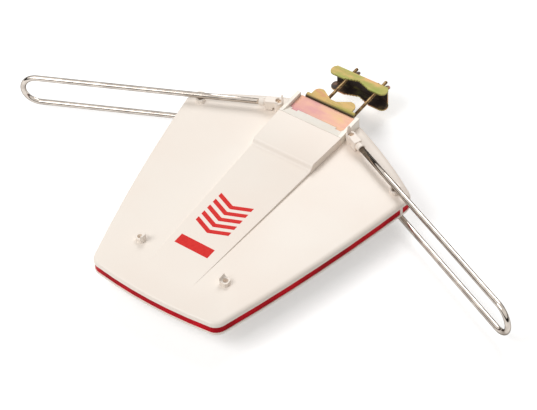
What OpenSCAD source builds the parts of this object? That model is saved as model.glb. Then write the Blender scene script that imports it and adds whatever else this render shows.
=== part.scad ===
// Flat outdoor TV antenna: a kite-shaped housing in two shells with a red band between them,
// a steel mast clamp at its narrow back, and two tube loops that swing forward for packing.
// The origin is the axis of a mast seated in the fixed jaw, level with the clamp bolts.
// +Y points away from the housing, +Z up along the mast, and the front edge is at -Y.

/* [Mast clamp] */
// Diameter of the mast that sits at the origin
mast_d = 40; // [24:1:42]
// Distance between the two clamp bolts
bolt_gap = 50; // [48:1:56]
// Diameter of the clamp bolts
bolt_d = 5; // [4:0.5:6]
// Length of the clamp bolts under the head
bolt_len = 112; // [104:1:140]
// Thickness of the bent steel sheet
sheet_t = 2.5; // [2:0.5:3]
// Width of the fixed jaw
jaw_w = 80; // [76:1:90]
// Height of the fixed jaw
jaw_h = 56; // [50:1:60]
// Depth of the jaw's flanges, web to hump
jaw_d = 22; // [20:1:28]
// Depth of the notch between the jaw's humps
notch_deep = 11; // [8:0.5:13]
// Slope of the notch's faces
notch_slope = 32; // [28:1:38]
// Flat width at the bottom of the notch
notch_floor = 10; // [8:1:14]
// Width of the saddle
saddle_w = 94; // [88:1:104]
// Height of the saddle
saddle_h = 32; // [26:1:38]
// Depth of the saddle's flanges
saddle_d = 18; // [16:1:22]
// Depth of the saddle's toothed notch
saddle_notch = 7; // [5:0.5:8]
// Width of the saddle's toothed notch
saddle_notch_w = 40; // [34:1:44]
// Number of teeth on each side of the saddle's notch
teeth = 5; // [3:1:7]
// Free gap between the jaws along the bolts as drawn
jaw_gap = 63; // [52:1:64]

/* [Loops] */
// Diameter of the loop tube
tube_d = 8; // [6:0.5:9]
// Wall of the loop tube
tube_wall = 1; // [0.6:0.2:1.6]
// Distance between the middles of a loop's two rods
loop_h = 46; // [44:1:50]
// Reach of a loop from its pivot to its outer end
loop_reach = 379; // [377:1:400]
// Sweep of an open loop, forward from straight out
sweep = 24.5; // [22:0.5:28]
// Turn from the open to the packed place
fold_turn = 64; // [62:0.5:65]
// Distance of each pivot from the collar's side
pivot_gap = 9; // [8.5:0.5:11]
// Diameter of the pivot screws
pivot_d = 5; // [4:0.5:6]
// Outer diameter of the eye round each pivot
eye_d = 14; // [13:0.5:15]
// Thickness of each eye
eye_h = 9; // [8:0.5:10]
// Length of the plug's square body past the pivot
body_end = 18.5; // [17:0.5:20]
// Outer diameter of the plug's sleeve
sleeve_d = 11.5; // [11:0.5:13]
// Where the sleeve ends along the tube
sleeve_end = 27.5; // [25:0.5:30]
// Distance from pivot to the rest at the shoulder
open_rest_at = 112; // [100:1:120]
// Distance from pivot to the rest at the front
packed_rest_at = 301; // [280:1:310]
// Length of a rest along the tube
rest_l = 12; // [8:1:14]
// Wall of a rest and thickness of its finger
rest_wall = 2.2; // [1.8:0.2:3]

/* [Housing] */
// Width across the shoulders, measured to the sharp corners
span_w = 376; // [360:2:390]
// Width across the front corners, measured to the sharp corners
front_w = 206; // [190:2:214]
// Length from the collar's back end to the front corners
body_l = 400; // [370:0.5:410]
// How far the shoulders lie forward of the collar's back end
shoulder_drop = 73; // [60:1:80]
// Bulge of the long sides
side_bulge = 5; // [3:0.5:6]
// Bulge of the front edge
front_bulge = 6; // [3:0.5:6]
// Bulge of the shoulder edges
shoulder_bulge = 3; // [1:0.5:4]
// Corner radius of the outline
corner_r = 18; // [12:1:22]
// Height of the whole rim
rim_h = 16; // [14:1:18]
// Height of the red band
band_h = 11; // [6:0.5:12]
// Recess of the red band
band_in = 1; // [0.5:0.25:1.5]
// Rise of each face above the rim
crown = 4.6; // [4:0.2:5.6]
// Wall of the shells
wall = 2.5; // [2:0.25:3]
// Height of the housing's middle over the clamp bolts
mid_z = 4.5; // [3.5:0.5:5]
// Length of the raised deck in front of the collar
deck_l = 61; // [50:1:70]
// Height of the raised deck over the face
deck_h = 12.4; // [11:0.2:13]
// Height of the spine where it leaves the deck
spine_h = 4; // [3:0.2:5]
// Length of the spine in front of the deck
spine_l = 258; // [230:2:262]
// Width of the spine at its front end
spine_w = 74; // [66:2:84]

/* [Collar] */
// Width of the collar
collar_w = 104; // [102:1:106]
// Length of the collar along the housing
collar_l = 45; // [42:1:50]
// Height of the collar
collar_h = 51; // [51:1:56]
// Wall of the collar's sides
collar_wall = 5.5; // [4:0.5:6]
// Length of the collar's sloped front lip
lip_l = 18; // [15:1:20]
// Depth of the steel plate under the collar's top
plate_down = 6; // [4:0.5:8]
// Thickness of the steel bracket
bracket_t = 3; // [2:0.5:3]

/* [Inside] */
// Thickness of the circuit boards
board_t = 1.6; // [1:0.2:2]
// Diameter of the posts for the housing screws
post_d = 10; // [9:0.5:12]
// Diameter of the housing screws
screw_d = 3.5; // [3:0.5:4]
// Diameter of the coaxial socket's thread
socket_d = 9.52; // [9:0.02:10]
// Length of the coaxial socket's thread outside
socket_l = 11; // [8:1:14]
// Distance of the coaxial socket in front of the collar
socket_at = 32; // [26:1:40]

/* [Hidden] */
$fn = 48;

// Seams between mouldings, and the slack of sliding and turning fits
seam = 0.15;
running = 0.05;
slack = 0.3;
over = 1;

// Places along Y, worked out from the mast's seat in the fixed jaw
notch_apex_y = -mast_d / 2 / cos(notch_slope);
notch_floor_y = notch_apex_y + notch_floor / 2 * tan(notch_slope);
hump_y = notch_floor_y + notch_deep;
web_y = hump_y - jaw_d;
leg_y = web_y - bracket_t;
back_y = web_y - 1;
collar_front_y = back_y - collar_l;
deck_end_y = collar_front_y - deck_l;
spine_end_y = deck_end_y - spine_l;
front_y = back_y - body_l;
saddle_face_y = notch_floor_y + jaw_gap;
saddle_web_y = saddle_face_y + saddle_d - saddle_notch;

// Places along Z
top_z = mid_z + rim_h / 2;
base_z = mid_z - rim_h / 2;
face_z = top_z + crown;
under_z = base_z - crown;
band_top_z = mid_z + band_h / 2;
band_low_z = mid_z - band_h / 2;
collar_top_z = mid_z + collar_h / 2;
collar_low_z = mid_z - collar_h / 2;
plate_z = collar_top_z - plate_down;
rod_z = mid_z + loop_h / 2;
collar_floor = 3;

// Places of the pivots and of the face's back boundary, which runs under the open loops
pivot_back = 34;
pivot_x = collar_w / 2 + pivot_gap;
pivot_y = back_y - pivot_back;
fall = tan(sweep);
boss_top_z = rod_z - eye_h / 2;

// The steel plate's front edge, and the two tongues that hook under the lip
plate_front_y = collar_front_y + lip_l;
tongue_x = collar_w / 2 - 15;
tongue_w = 9;
tongue_l = 4;

// The collar's root between the shells
root_l = 6;
root_h = band_h - 0.5;
root_half = collar_w / 2 - 14;

// Screw posts of the housing, given on one side and mirrored
posts = [[front_w * 0.38, front_y + 26], [mix(front_w, span_w, 0.44) * 0.4, front_y + 152],
         [span_w * 0.4, front_y + 292]];
head_d = 6.5;
head_deep = 3;

// Vector helpers for the outlines
function unit(v) = v / norm(v);
function left_of(v) = [-v.y, v.x];
function bearing(v) = atan2(v.y, v.x);
function mix(a, b, t) = a + (b - a) * t;

// A corner of a counter-clockwise outline, moved in by r from both of its sides
function inner_corner(c, i, r) =
    let (n = len(c),
         a = left_of(unit(c[i] - c[(i + n - 1) % n])),
         b = left_of(unit(c[(i + 1) % n] - c[i])))
    c[i] + r * (a + b) / (1 + a * b);

// A closed outline with round corners and bulged sides, drawn in by inset, at height z
// The first two corners lie beside the collar and turn little
corner_steps = 6;
side_steps = 6;
function ring(c, bulges, r, inset, z) =
    let (n = len(c), k = [for (i = [0 : n - 1]) inner_corner(c, i, r)])
    [for (i = [0 : n - 1])
        let (p = k[i],
             q = k[(i + 1) % n],
             before = bearing(p - k[(i + n - 1) % n]),
             turn = (bearing(q - p) - before + 720) % 360,
             away = -left_of(unit(q - p)),
             bends = i < 2 ? 1 : corner_steps,
             steps = bulges[i] > 0 ? side_steps : 1)
        each concat(
            [for (j = [0 : bends])
                let (a = before - 90 + turn * j / bends)
                [p.x + (r - inset) * cos(a), p.y + (r - inset) * sin(a), z]],
            [for (j = [1 : 1 : steps - 1])
                let (t = j / steps,
                     m = mix(p, q, t) + away * (r - inset + 4 * bulges[i] * t * (1 - t)))
                [m.x, m.y, z]])];
function flat(points) = [for (p = points) [p.x, p.y]];

// Sharp corners of the rim and of the flat face, from the collar's right back corner
shoulder_y = back_y - shoulder_drop;
rim_corners = [[collar_w / 2, back_y + 2], [-collar_w / 2, back_y + 2],
               [-span_w / 2, shoulder_y], [-front_w / 2, front_y],
               [front_w / 2, front_y], [span_w / 2, shoulder_y]];
edge_round = 5;
face_x = span_w / 2 - 11;
face_corners = [[collar_w / 2, pivot_y + 9 * fall], [-collar_w / 2, pivot_y + 9 * fall],
                [-face_x, pivot_y - (face_x - pivot_x) * fall],
                [-front_w / 2 + edge_round, front_y + edge_round],
                [front_w / 2 - edge_round, front_y + edge_round],
                [face_x, pivot_y - (face_x - pivot_x) * fall]];
bulges = [0, shoulder_bulge, side_bulge, front_bulge, side_bulge, shoulder_bulge];
function rim_ring(inset, z) = ring(rim_corners, bulges, corner_r, inset, z);

// Rings from the rim's edge up to the face: share s of the way out, and the height there.
// Sides and front round over on a quarter ellipse, and the back slopes away more evenly.
crown_steps = [1, 0.93, 0.75, 0.45, 0];
back_rise = [0, 0.3, 0.5, 0.72, 1];
function rise(i, y) = y > shoulder_y + corner_r / 2 ? back_rise[i] : sqrt(1 - pow(crown_steps[i], 2));
function crown_rings(inset, z) =
    [for (i = [0 : len(crown_steps) - 1])
        [for (p = ring([for (k = [0 : 5]) mix(face_corners[k], rim_corners[k], crown_steps[i])],
                       bulges, corner_r, inset, z))
            [p.x, p.y, p.z + crown * rise(i, p.y)]]];

// A solid through a stack of rings with equal numbers of points
module loft(rings) {
    n = len(rings[0]);
    m = len(rings);
    polyhedron(
        points = [for (r = rings) each r],
        faces = concat(
            [[for (i = [0 : n - 1]) i]],
            [[for (i = [n - 1 : -1 : 0]) (m - 1) * n + i]],
            [for (k = [0 : m - 2]) for (i = [0 : n - 1])
                each [[k * n + i, (k + 1) * n + i, (k + 1) * n + (i + 1) % n],
                      [k * n + i, (k + 1) * n + (i + 1) % n, k * n + (i + 1) % n]]]));
}

// Half-shell bodies, drawn upwards from the band's edge, about the housing's middle plane
module crown_body(inset, from_z) {
    translate([0, 0, mid_z])
        loft(concat([rim_ring(inset, from_z)], crown_rings(inset, rim_h / 2 - inset)));
}

// Deck and spine: a side profile, cut to the tapered plan
ramp_l = 10;
ramp_steps = 6;
function ramp(t) = (1 + cos(180 * t)) / 2;
module deck_body(inset) {
    high = rim_h / 2 + crown + deck_h - inset;
    low = rim_h / 2 + crown + spine_h - inset;
    front_half = spine_w / 2 - inset;
    back_half = collar_w / 2 - inset;
    translate([0, 0, mid_z]) intersection() {
        rotate([90, 0, 90]) translate([0, 0, -collar_w / 2])
            linear_extrude(collar_w)
                polygon(concat(
                    [[collar_front_y, band_h / 2 + 1], [collar_front_y, high], [deck_end_y + inset, high]],
                    [for (j = [1 : ramp_steps])
                        let (t = j / ramp_steps)
                        [deck_end_y + inset - ramp_l * t, low + (high - low) * ramp(t)]],
                    [[spine_end_y, rim_h / 2 + crown - inset], [spine_end_y, band_h / 2 + 1]]));
        linear_extrude(collar_h)
            polygon([[-back_half, collar_front_y], [back_half, collar_front_y],
                     [front_half, spine_end_y], [-front_half, spine_end_y]]);
    }
}

// The place of the collar, with room all round it
module collar_room(extra) {
    translate([-collar_w / 2 - extra, collar_front_y - extra, collar_low_z - over])
        cube([collar_w + 2 * extra, collar_l + 60, collar_h + 2 * over]);
}

// One half of the housing, as a hollow moulding without its fittings
module half_shell() {
    difference() {
        union() {
            crown_body(0, band_h / 2);
            deck_body(0);
        }
        difference() {
            union() {
                crown_body(wall, band_h / 2 - over);
                deck_body(wall);
            }
            collar_room(wall);
        }
        collar_room(seam);
    }
}

// Puts children at each screw post
module at_posts() {
    for (side = [-1, 1]) for (p = posts)
        translate([side * p.x, p.y, 0]) children();
}

// Frames of one side's loop: origin at the pivot, X along the tube
module loop_frame(side, turn) {
    translate([side * pivot_x, pivot_y, 0])
        rotate(side > 0 ? -sweep - turn : 180 + sweep + turn) children();
}

// An open rest that the tube swings over from -Y of its frame, up to a finger behind it
finger_rise = 1.5;
corner_cut = 2.5;
rest_step = 0.2;
module tube_rest(at) {
    inner = tube_d / 2 + slack;
    outer = inner + rest_wall;
    end = rest_l / 2;
    low_z = face_z - wall / 2;
    front_z = rod_z - inner - rest_step;
    translate([at, 0, 0]) difference() {
        intersection() {
            translate([-end, 0, 0]) rotate([90, 0, 90]) linear_extrude(rest_l) difference() {
                union() {
                    translate([-outer, low_z]) square([2 * outer, front_z - low_z]);
                    translate([0, low_z]) square([outer, rod_z + finger_rise - low_z]);
                }
                translate([0, rod_z]) circle(inner);
            }
            translate([0, 0, low_z - over]) linear_extrude(2 * loop_h)
                polygon([[-end, -outer + corner_cut], [-end + corner_cut, -outer],
                         [end - corner_cut, -outer], [end, -outer + corner_cut],
                         [end, outer - corner_cut], [end - corner_cut, outer],
                         [-end + corner_cut, outer], [-end, outer - corner_cut]]);
        }
        translate([0, -rest_wall / 2, face_z + wall / 4])
            cylinder(d = rest_l - 2 * rest_wall, h = loop_h);
    }
}

// The pivot boss that carries an eye, on a twelve-sided foot through the face,
// with the pilot hole of its screw left to be drilled
foot_d = eye_d + 3;
foot_rise = 0.6;
module pivot_boss() {
    for (side = [-1, 1]) translate([side * pivot_x, pivot_y, 0]) {
        translate([0, 0, face_z]) cylinder(d = eye_d, h = boss_top_z - slack - face_z);
        translate([0, 0, face_z - wall - over])
            cylinder(d = foot_d, h = wall + over + foot_rise, $fn = 12);
    }
}
module pivot_holes() {
    for (side = [-1, 1]) translate([side * pivot_x, pivot_y, face_z - wall - 2 * over])
        cylinder(d = pivot_d, h = collar_h);
}

latch_y = shoulder_y - 24;
latch_w = 4;
module upper_shell() {
    color([0.96, 0.92, 0.87]) {
        difference() {
            union() {
                half_shell();
                pivot_boss();
                for (side = [-1, 1]) {
                    loop_frame(side, 0) scale_side(side) tube_rest(open_rest_at);
                    loop_frame(side, fold_turn) scale_side(-side) tube_rest(packed_rest_at);
                }
                at_posts() translate([0, 0, board_top_z])
                    cylinder(d = post_d, h = face_z - wall / 2 - board_top_z);
            }
            pivot_holes();
            at_posts() translate([0, 0, mid_z]) cylinder(d = screw_d, h = rim_h / 2);
        }
        latch_tabs();
    }
}

// Mirrors the children across X on the left side, so that rests open towards the swing
module scale_side(side) {
    if (side > 0) children();
    else mirror([0, 1, 0]) children();
}

// Small tabs that bridge the band on both long sides
module latch_tabs() {
    translate([0, 0, band_low_z]) linear_extrude(band_h) intersection() {
        difference() {
            polygon(flat(rim_ring(0, 0)));
            polygon(flat(rim_ring(band_in, 0)));
        }
        translate([-span_w, latch_y]) square([2 * span_w, latch_w]);
    }
}

module lower_shell() {
    color([0.95, 0.91, 0.86]) difference() {
        union() {
            under() half_shell();
            under() pivot_boss();
            at_posts() translate([0, 0, under_z + wall / 2])
                cylinder(d = post_d, h = board_z - under_z - wall / 2);
        }
        under() pivot_holes();
        at_posts() translate([0, 0, under_z - over])
            cylinder(d = screw_d + 2 * slack, h = rim_h);
        at_posts() translate([0, 0, under_z - over])
            cylinder(d = head_d + 2 * slack, h = head_deep + over);
        translate([0, socket_y, collar_low_z - over]) cylinder(d = socket_d + 2 * slack, h = 20);
    }
}

// Turns the upper half over, about the housing's middle plane
module under() {
    translate([0, 0, 2 * mid_z]) mirror([0, 0, 1]) children();
}

band_thick = 3;
module red_band() {
    color([0.78, 0.08, 0.14]) difference() {
        translate([0, 0, band_low_z]) linear_extrude(band_h) difference() {
            polygon(flat(rim_ring(band_in, 0)));
            polygon(flat(rim_ring(band_in + band_thick, 0)));
        }
        collar_room(seam);
    }
}

// The collar's side profile: floor, front block with its sloped lip, and the open tray
tray_half = collar_w / 2 - collar_wall;
module mount_collar() {
    lip_wall = 2.5;
    rib_t = 2;
    color([0.98, 0.97, 0.95]) difference() {
        union() {
            difference() {
                translate([-collar_w / 2, collar_front_y, collar_low_z])
                    cube([collar_w, collar_l, collar_h]);
                across(tray_half) polygon([
                    [collar_front_y, collar_top_z], [plate_front_y, plate_z],
                    [plate_front_y, collar_low_z + collar_floor],
                    [back_y + over, collar_low_z + collar_floor],
                    [back_y + over, collar_top_z + over], [collar_front_y, collar_top_z + over]]);
                difference() {
                    across(tray_half - lip_wall) polygon([
                        [collar_front_y - over, collar_low_z + collar_floor],
                        [plate_front_y - lip_wall, collar_low_z + collar_floor],
                        [plate_front_y - lip_wall, plate_z - lip_wall],
                        [collar_front_y + lip_wall, collar_top_z - 2 * lip_wall],
                        [collar_front_y - over, collar_top_z - 2 * lip_wall]]);
                    for (x = [-rib_t / 2 - tray_half / 2, -rib_t / 2 + tray_half / 2])
                        translate([x, collar_front_y, collar_low_z])
                            cube([rib_t, lip_l, collar_h]);
                }
            }
            // Tongue that the two shells hold between them
            translate([-root_half, collar_front_y - root_l, mid_z - root_h / 2])
                cube([2 * root_half, root_l + lip_wall, root_h]);
        }
        for (side = [-1, 1]) {
            // Slots for the bracket's tongues
            translate([side * tongue_x - tongue_w / 2 - slack, plate_front_y - tongue_l - slack,
                       plate_z - bracket_t - slack])
                cube([tongue_w + 2 * slack, tongue_l + over, bracket_t + 2]);
            // Holes for the screws from below
            translate([side * bracket_screw_x, bracket_screw_y, collar_low_z - over])
                cylinder(d = bracket_screw_d + 2 * slack, h = collar_floor + 2 * over);
        }
    }
}

// Extrudes a side profile, given as [y, z], over both sides of the middle
module across(half) {
    rotate([90, 0, 90]) translate([0, 0, -half]) linear_extrude(2 * half) children();
}

// Holes for both clamp bolts through anything at the given place along Y
module bolt_holes(from_y, length, d) {
    for (side = [-1, 1]) translate([side * bolt_gap / 2, from_y, 0])
        rotate([-90, 0, 0]) cylinder(d = d, h = length);
}

bracket_half = tray_half - 0.5;
bracket_low_z = collar_low_z + collar_floor;
bracket_screw_x = bracket_half - 12;
bracket_screw_y = plate_front_y + 12;
bracket_screw_d = 4;
module mount_bracket() {
    color([0.93, 0.75, 0.66]) difference() {
        union() {
            across(bracket_half) polygon([
                [plate_front_y + seam, plate_z], [web_y, plate_z],
                [web_y, bracket_low_z], [plate_front_y + seam, bracket_low_z],
                [plate_front_y + seam, bracket_low_z + bracket_t],
                [leg_y, bracket_low_z + bracket_t], [leg_y, plate_z - bracket_t],
                [plate_front_y + seam, plate_z - bracket_t]]);
            for (side = [-1, 1])
                translate([side * tongue_x - tongue_w / 2, plate_front_y + seam - tongue_l,
                           plate_z - bracket_t])
                    cube([tongue_w, tongue_l + over, bracket_t]);
        }
        bolt_holes(leg_y - over, bracket_t + 2 * over, bolt_d);
        for (side = [-1, 1])
            translate([side * bracket_screw_x, bracket_screw_y, bracket_low_z - over])
                cylinder(d = bracket_screw_d, h = bracket_t + 2 * over);
    }
}

// Right half of the jaw's flange from the notch outwards; the left half mirrors it
hump_r = 5;
shoulder_r = 9;
flange_in = 6;
bend_r = 4;
bend_steps = 5;
function jaw_side() =
    let (crest_x = notch_floor / 2 + notch_deep / tan(notch_slope)
             + hump_r * tan(notch_slope / 2))
    concat(
        [[notch_floor / 2, notch_floor_y]],
        [for (j = [0 : 4])
            let (a = notch_slope * (1 - j / 4))
            [crest_x - hump_r * sin(a), hump_y - hump_r * (1 - cos(a))]],
        [for (j = [0 : 6])
            let (a = 15 * j)
            [jaw_w / 2 - flange_in - shoulder_r * (1 - sin(a)),
             hump_y - shoulder_r * (1 - cos(a))]],
        [[jaw_w / 2 - flange_in, web_y + bend_r + sheet_t], [jaw_w / 2, web_y + bend_r + sheet_t],
         [jaw_w / 2, web_y]]);
function turned(points) = [for (i = [len(points) - 1 : -1 : 0]) [-points[i].x, points[i].y]];

// The jaw's section across Y and Z: one bend of radius r about the upper fold, then the channel
function jaw_bend(r) =
    [for (j = [0 : bend_steps])
        let (a = 90 * j / bend_steps)
        [web_y + bend_r - r * cos(a), jaw_h / 2 - bend_r + r * sin(a)]];
function backwards(points) = [for (i = [len(points) - 1 : -1 : 0]) points[i]];
module jaw_section() {
    upper = concat(jaw_bend(bend_r),
                   [[hump_y + over, jaw_h / 2], [hump_y + over, jaw_h / 2 - sheet_t]],
                   backwards(jaw_bend(bend_r - sheet_t)));
    polygon(concat(upper, [for (p = backwards(upper)) [p.x, -p.y]]));
}
module fixed_jaw() {
    outline = concat(jaw_side(), turned(jaw_side()));
    color([0.90, 0.77, 0.48]) difference() {
        intersection() {
            translate([0, 0, -jaw_h / 2 - over]) linear_extrude(jaw_h + 2 * over) polygon(outline);
            rotate([90, 0, 90]) translate([0, 0, -jaw_w / 2 - over])
                linear_extrude(jaw_w + 2 * over) jaw_section();
        }
        bolt_holes(web_y - over, sheet_t + 2 * over, bolt_d);
    }
}

// A hexagon bolt, its head's underside at the origin and its shank along +Z
bolt_head_w = 8;
bolt_head_h = 3.5;
washer_d = 10;
washer_t = 1;
bolt_from_y = leg_y - washer_t;
module hex_bolt() {
    translate([0, 0, -bolt_head_h]) cylinder(d = bolt_head_w / cos(30), h = bolt_head_h, $fn = 6);
    cylinder(d = bolt_d, h = bolt_len - 1);
    translate([0, 0, bolt_len - 1]) cylinder(d1 = bolt_d, d2 = bolt_d - 1.6, h = 1);
}
module clamp_bolt(side) {
    color([0.80, 0.72, 0.45]) translate([side * bolt_gap / 2, bolt_from_y, 0])
        rotate([-90, 0, 0]) hex_bolt();
}
module washers_at(y) {
    for (side = [-1, 1]) translate([side * bolt_gap / 2, y, 0]) rotate([-90, 0, 0])
        difference() {
            cylinder(d = washer_d, h = washer_t);
            translate([0, 0, -over]) cylinder(d = bolt_d + 2 * slack, h = washer_t + 2 * over);
        }
}
module bolt_washers() {
    color([0.80, 0.78, 0.66]) washers_at(bolt_from_y);
}
module nut_washers() {
    color([0.80, 0.78, 0.66]) washers_at(saddle_web_y);
}

// Split spring washers between the flat washers and the wing nuts
spring_d = 8.6;
spring_t = 1.3;
spring_split = 1;
module spring_washers() {
    color([0.55, 0.50, 0.42]) for (side = [-1, 1])
        translate([side * bolt_gap / 2, saddle_web_y + washer_t, 0]) rotate([-90, 0, 0])
            difference() {
                cylinder(d = spring_d, h = spring_t);
                translate([0, 0, -over]) cylinder(d = bolt_d + 2 * slack, h = spring_t + 2 * over);
                translate([-spring_split / 2, 0, -over])
                    cube([spring_split, spring_d, spring_t + 2 * over]);
            }
}

// Saddle: flanges with round ends and a toothed notch, joined by a web on the far side
saddle_end_r = 8;
tooth_deep = 1.2;
function notch_teeth() =
    let (half = saddle_notch_w / 2, steps = 2 * teeth)
    [for (j = [0 : steps])
        let (t = j / steps)
        [half * (1 - t), saddle_notch * t + (j % 2 == 1 ? tooth_deep : 0)]];
function saddle_side() =
    concat(
        [for (p = notch_teeth()) if (p.x > 0) [-p.x, saddle_face_y - saddle_notch + p.y]],
        [[0, saddle_face_y]]);
module saddle_flange() {
    near_y = saddle_face_y - saddle_notch;
    half = saddle_w / 2;
    // Left half from the far edge round the end, then the notch, then the mirrored right half
    left = concat(
        [for (j = [0 : 8])
            let (a = 90 + 11.25 * j)
            [-half + saddle_end_r + saddle_end_r * cos(a),
             saddle_web_y - saddle_end_r + saddle_end_r * sin(a)]],
        [for (j = [0 : 6])
            let (a = 180 + 15 * j)
            [-half + saddle_end_r + saddle_end_r * cos(a),
             near_y + saddle_end_r + saddle_end_r * sin(a)]],
        saddle_side());
    linear_extrude(sheet_t) polygon(concat(left, [for (i = [len(left) - 2 : -1 : 0]) [-left[i].x, left[i].y]]));
}
module saddle() {
    color([0.62, 0.63, 0.31]) difference() {
        union() {
            translate([0, 0, saddle_h / 2 - sheet_t]) saddle_flange();
            translate([0, 0, -saddle_h / 2]) saddle_flange();
            translate([-saddle_w / 2 + saddle_end_r / 2, saddle_web_y - sheet_t, -saddle_h / 2])
                cube([saddle_w - saddle_end_r, sheet_t, saddle_h]);
        }
        bolt_holes(saddle_web_y - sheet_t - over, sheet_t + 2 * over, bolt_d + 2 * slack);
    }
}

// Wing nut: a coned hub with two rounded wings, its seat at the origin and its axis along +Z
hub_d = 10;
hub_h = 7;
wing_r = 4.2;
wing_x = 9;
wing_z = 9.6;
wing_t = 2.4;
wing_lift = 24;
module wing_nut_body() {
    difference() {
        union() {
            cylinder(d1 = hub_d, d2 = hub_d - 2, h = hub_h);
            rotate([90, 0, 0]) translate([0, 0, -wing_t / 2]) linear_extrude(wing_t)
                for (side = [-1, 1]) {
                    translate([side * wing_x, wing_z]) circle(wing_r);
                    polygon([[0, 1], [side * (wing_x + wing_r * 0.8), wing_z - wing_r * 0.6],
                             [side * (wing_x - wing_r * 0.9), wing_z + wing_r * 0.43],
                             [side * bolt_d / 2, hub_h], [0, hub_h]]);
                }
        }
        translate([0, 0, -over]) cylinder(d = bolt_d + 2 * running, h = 30);
    }
}
module wing_nut(side) {
    color([0.45, 0.40, 0.34])
        translate([side * bolt_gap / 2, saddle_web_y + washer_t + spring_t, 0])
            rotate([-90, 0, 0]) rotate(side < 0 ? -wing_lift : -wing_lift / 2) wing_nut_body();
}

// A loop's tube about its own frame: two rods and a half-round end, in the upright plane
tube_from = 12;
module loop_run(d) {
    bend_r = loop_h / 2;
    bend_x = loop_reach - bend_r - tube_d / 2;
    for (up = [-1, 1]) translate([tube_from, 0, up * bend_r]) rotate([0, 90, 0])
        cylinder(d = d, h = bend_x - tube_from);
    translate([bend_x, 0, 0]) rotate([90, 0, 0]) rotate([0, 0, -90])
        rotate_extrude(angle = 180) translate([bend_r, 0]) circle(d = d);
}
module antenna_loop(side) {
    color([0.80, 0.80, 0.80]) translate([0, 0, mid_z]) loop_frame(side, 0) difference() {
        loop_run(tube_d);
        loop_run(tube_d - 2 * tube_wall);
    }
}

// The moulded plug on a tube's end: eye, body, groove, sleeve and finger tab
plug_low = 9;
plug_high = 6;
groove_w = 1.6;
head_room = 4;
tab_h = 12;
module plug() {
    body_half = 5.5;
    body_from = eye_d / 2 + 1;
    sleeve_from = body_end + groove_w;
    difference() {
        union() {
            translate([0, 0, -eye_h / 2]) cylinder(d = eye_d, h = eye_h);
            translate([0, -body_half, -eye_h / 2])
                cube([body_end, 2 * body_half, plug_high + eye_h / 2]);
            translate([body_from, -body_half, -plug_low])
                cube([body_end - body_from, 2 * body_half, plug_low + plug_high]);
            translate([body_from, 0, 0]) rotate([0, 90, 0])
                cylinder(d = tube_d + 2, h = sleeve_end - over - body_from);
            translate([sleeve_from, 0, 0]) rotate([0, 90, 0])
                cylinder(d = sleeve_d, h = sleeve_end - sleeve_from);
            // Finger tab at the back of the eye, pointed at its top
            translate([-eye_d / 2 + 0.4, 0, -eye_h / 2]) rotate([90, 0, 90])
                linear_extrude(2) polygon([[-3.2, 0], [3.2, 0], [3.2, eye_h + 4],
                                           [1.2, eye_h + tab_h], [-1.2, eye_h + tab_h], [-3.2, eye_h + 4]]);
        }
        translate([0, 0, -eye_h]) cylinder(d = pivot_d + 2 * running, h = 3 * eye_h);
        translate([0, 0, eye_h / 2 - head_room]) cylinder(d = pivot_head_d + 2 * slack, h = 2 * eye_h);
        translate([tube_from, 0, 0]) rotate([0, 90, 0]) cylinder(d = tube_d, h = sleeve_end);
    }
}
module upper_plug(side) {
    color([0.95, 0.90, 0.84]) translate([0, 0, rod_z]) loop_frame(side, 0) plug();
}
module lower_plug(side) {
    color([0.94, 0.89, 0.83]) under() translate([0, 0, rod_z]) loop_frame(side, 0) plug();
}

// Pivot screws: a flat head sunk in the eye and a shank in the boss
pivot_head_d = 8;
pivot_head_h = 2.6;
module pivot_screws() {
    seat_z = rod_z + eye_h / 2 - head_room;
    for (side = [-1, 1]) translate([side * pivot_x, pivot_y, 0]) {
        translate([0, 0, seat_z + running]) difference() {
            cylinder(d = pivot_head_d, h = pivot_head_h);
            translate([-0.6, -pivot_head_d, pivot_head_h - 1]) cube([1.2, 2 * pivot_head_d, 2]);
        }
        translate([0, 0, board_top_z + strip_t])
            cylinder(d = pivot_d, h = seat_z + 0.5 - board_top_z - strip_t);
    }
}
module upper_pivot_screws() {
    color([0.70, 0.70, 0.70]) pivot_screws();
}
module lower_pivot_screws() {
    color([0.70, 0.70, 0.70]) under() pivot_screws();
}

module bracket_screws() {
    color([0.75, 0.75, 0.72]) for (side = [-1, 1])
        translate([side * bracket_screw_x, bracket_screw_y, 0]) {
            translate([0, 0, collar_low_z - 2.4]) difference() {
                cylinder(d = 7.5, h = 2.4);
                translate([-0.5, -8, -over]) cube([1, 16, over + 1]);
            }
            translate([0, 0, collar_low_z - 0.5])
                cylinder(d = bracket_screw_d, h = collar_floor + bracket_t + 3);
        }
}

module housing_screws() {
    color([0.72, 0.72, 0.72]) at_posts() {
        translate([0, 0, under_z + 0.4]) cylinder(d = head_d, h = head_deep - 0.4);
        translate([0, 0, under_z + head_deep - 0.5])
            cylinder(d = screw_d, h = mid_z + 5 - (under_z + head_deep - 0.5));
    }
}

// Insulating board with printed elements, lying on the band's middle plane
board_in = 8;
board_z = mid_z - board_t / 2;
board_top_z = mid_z + board_t / 2;
board_side_gap = 1.5;
board_front_gap = root_l + 2;
module element_board() {
    color([0.25, 0.45, 0.28]) translate([0, 0, board_z]) linear_extrude(board_t) difference() {
        polygon(flat(rim_ring(board_in, 0)));
        translate([-collar_w / 2 - board_side_gap, collar_front_y - board_front_gap])
            square([collar_w + 2 * board_side_gap, 2 * collar_l]);
        at_posts() circle(d = screw_d + 2 * slack);
    }
}

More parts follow.
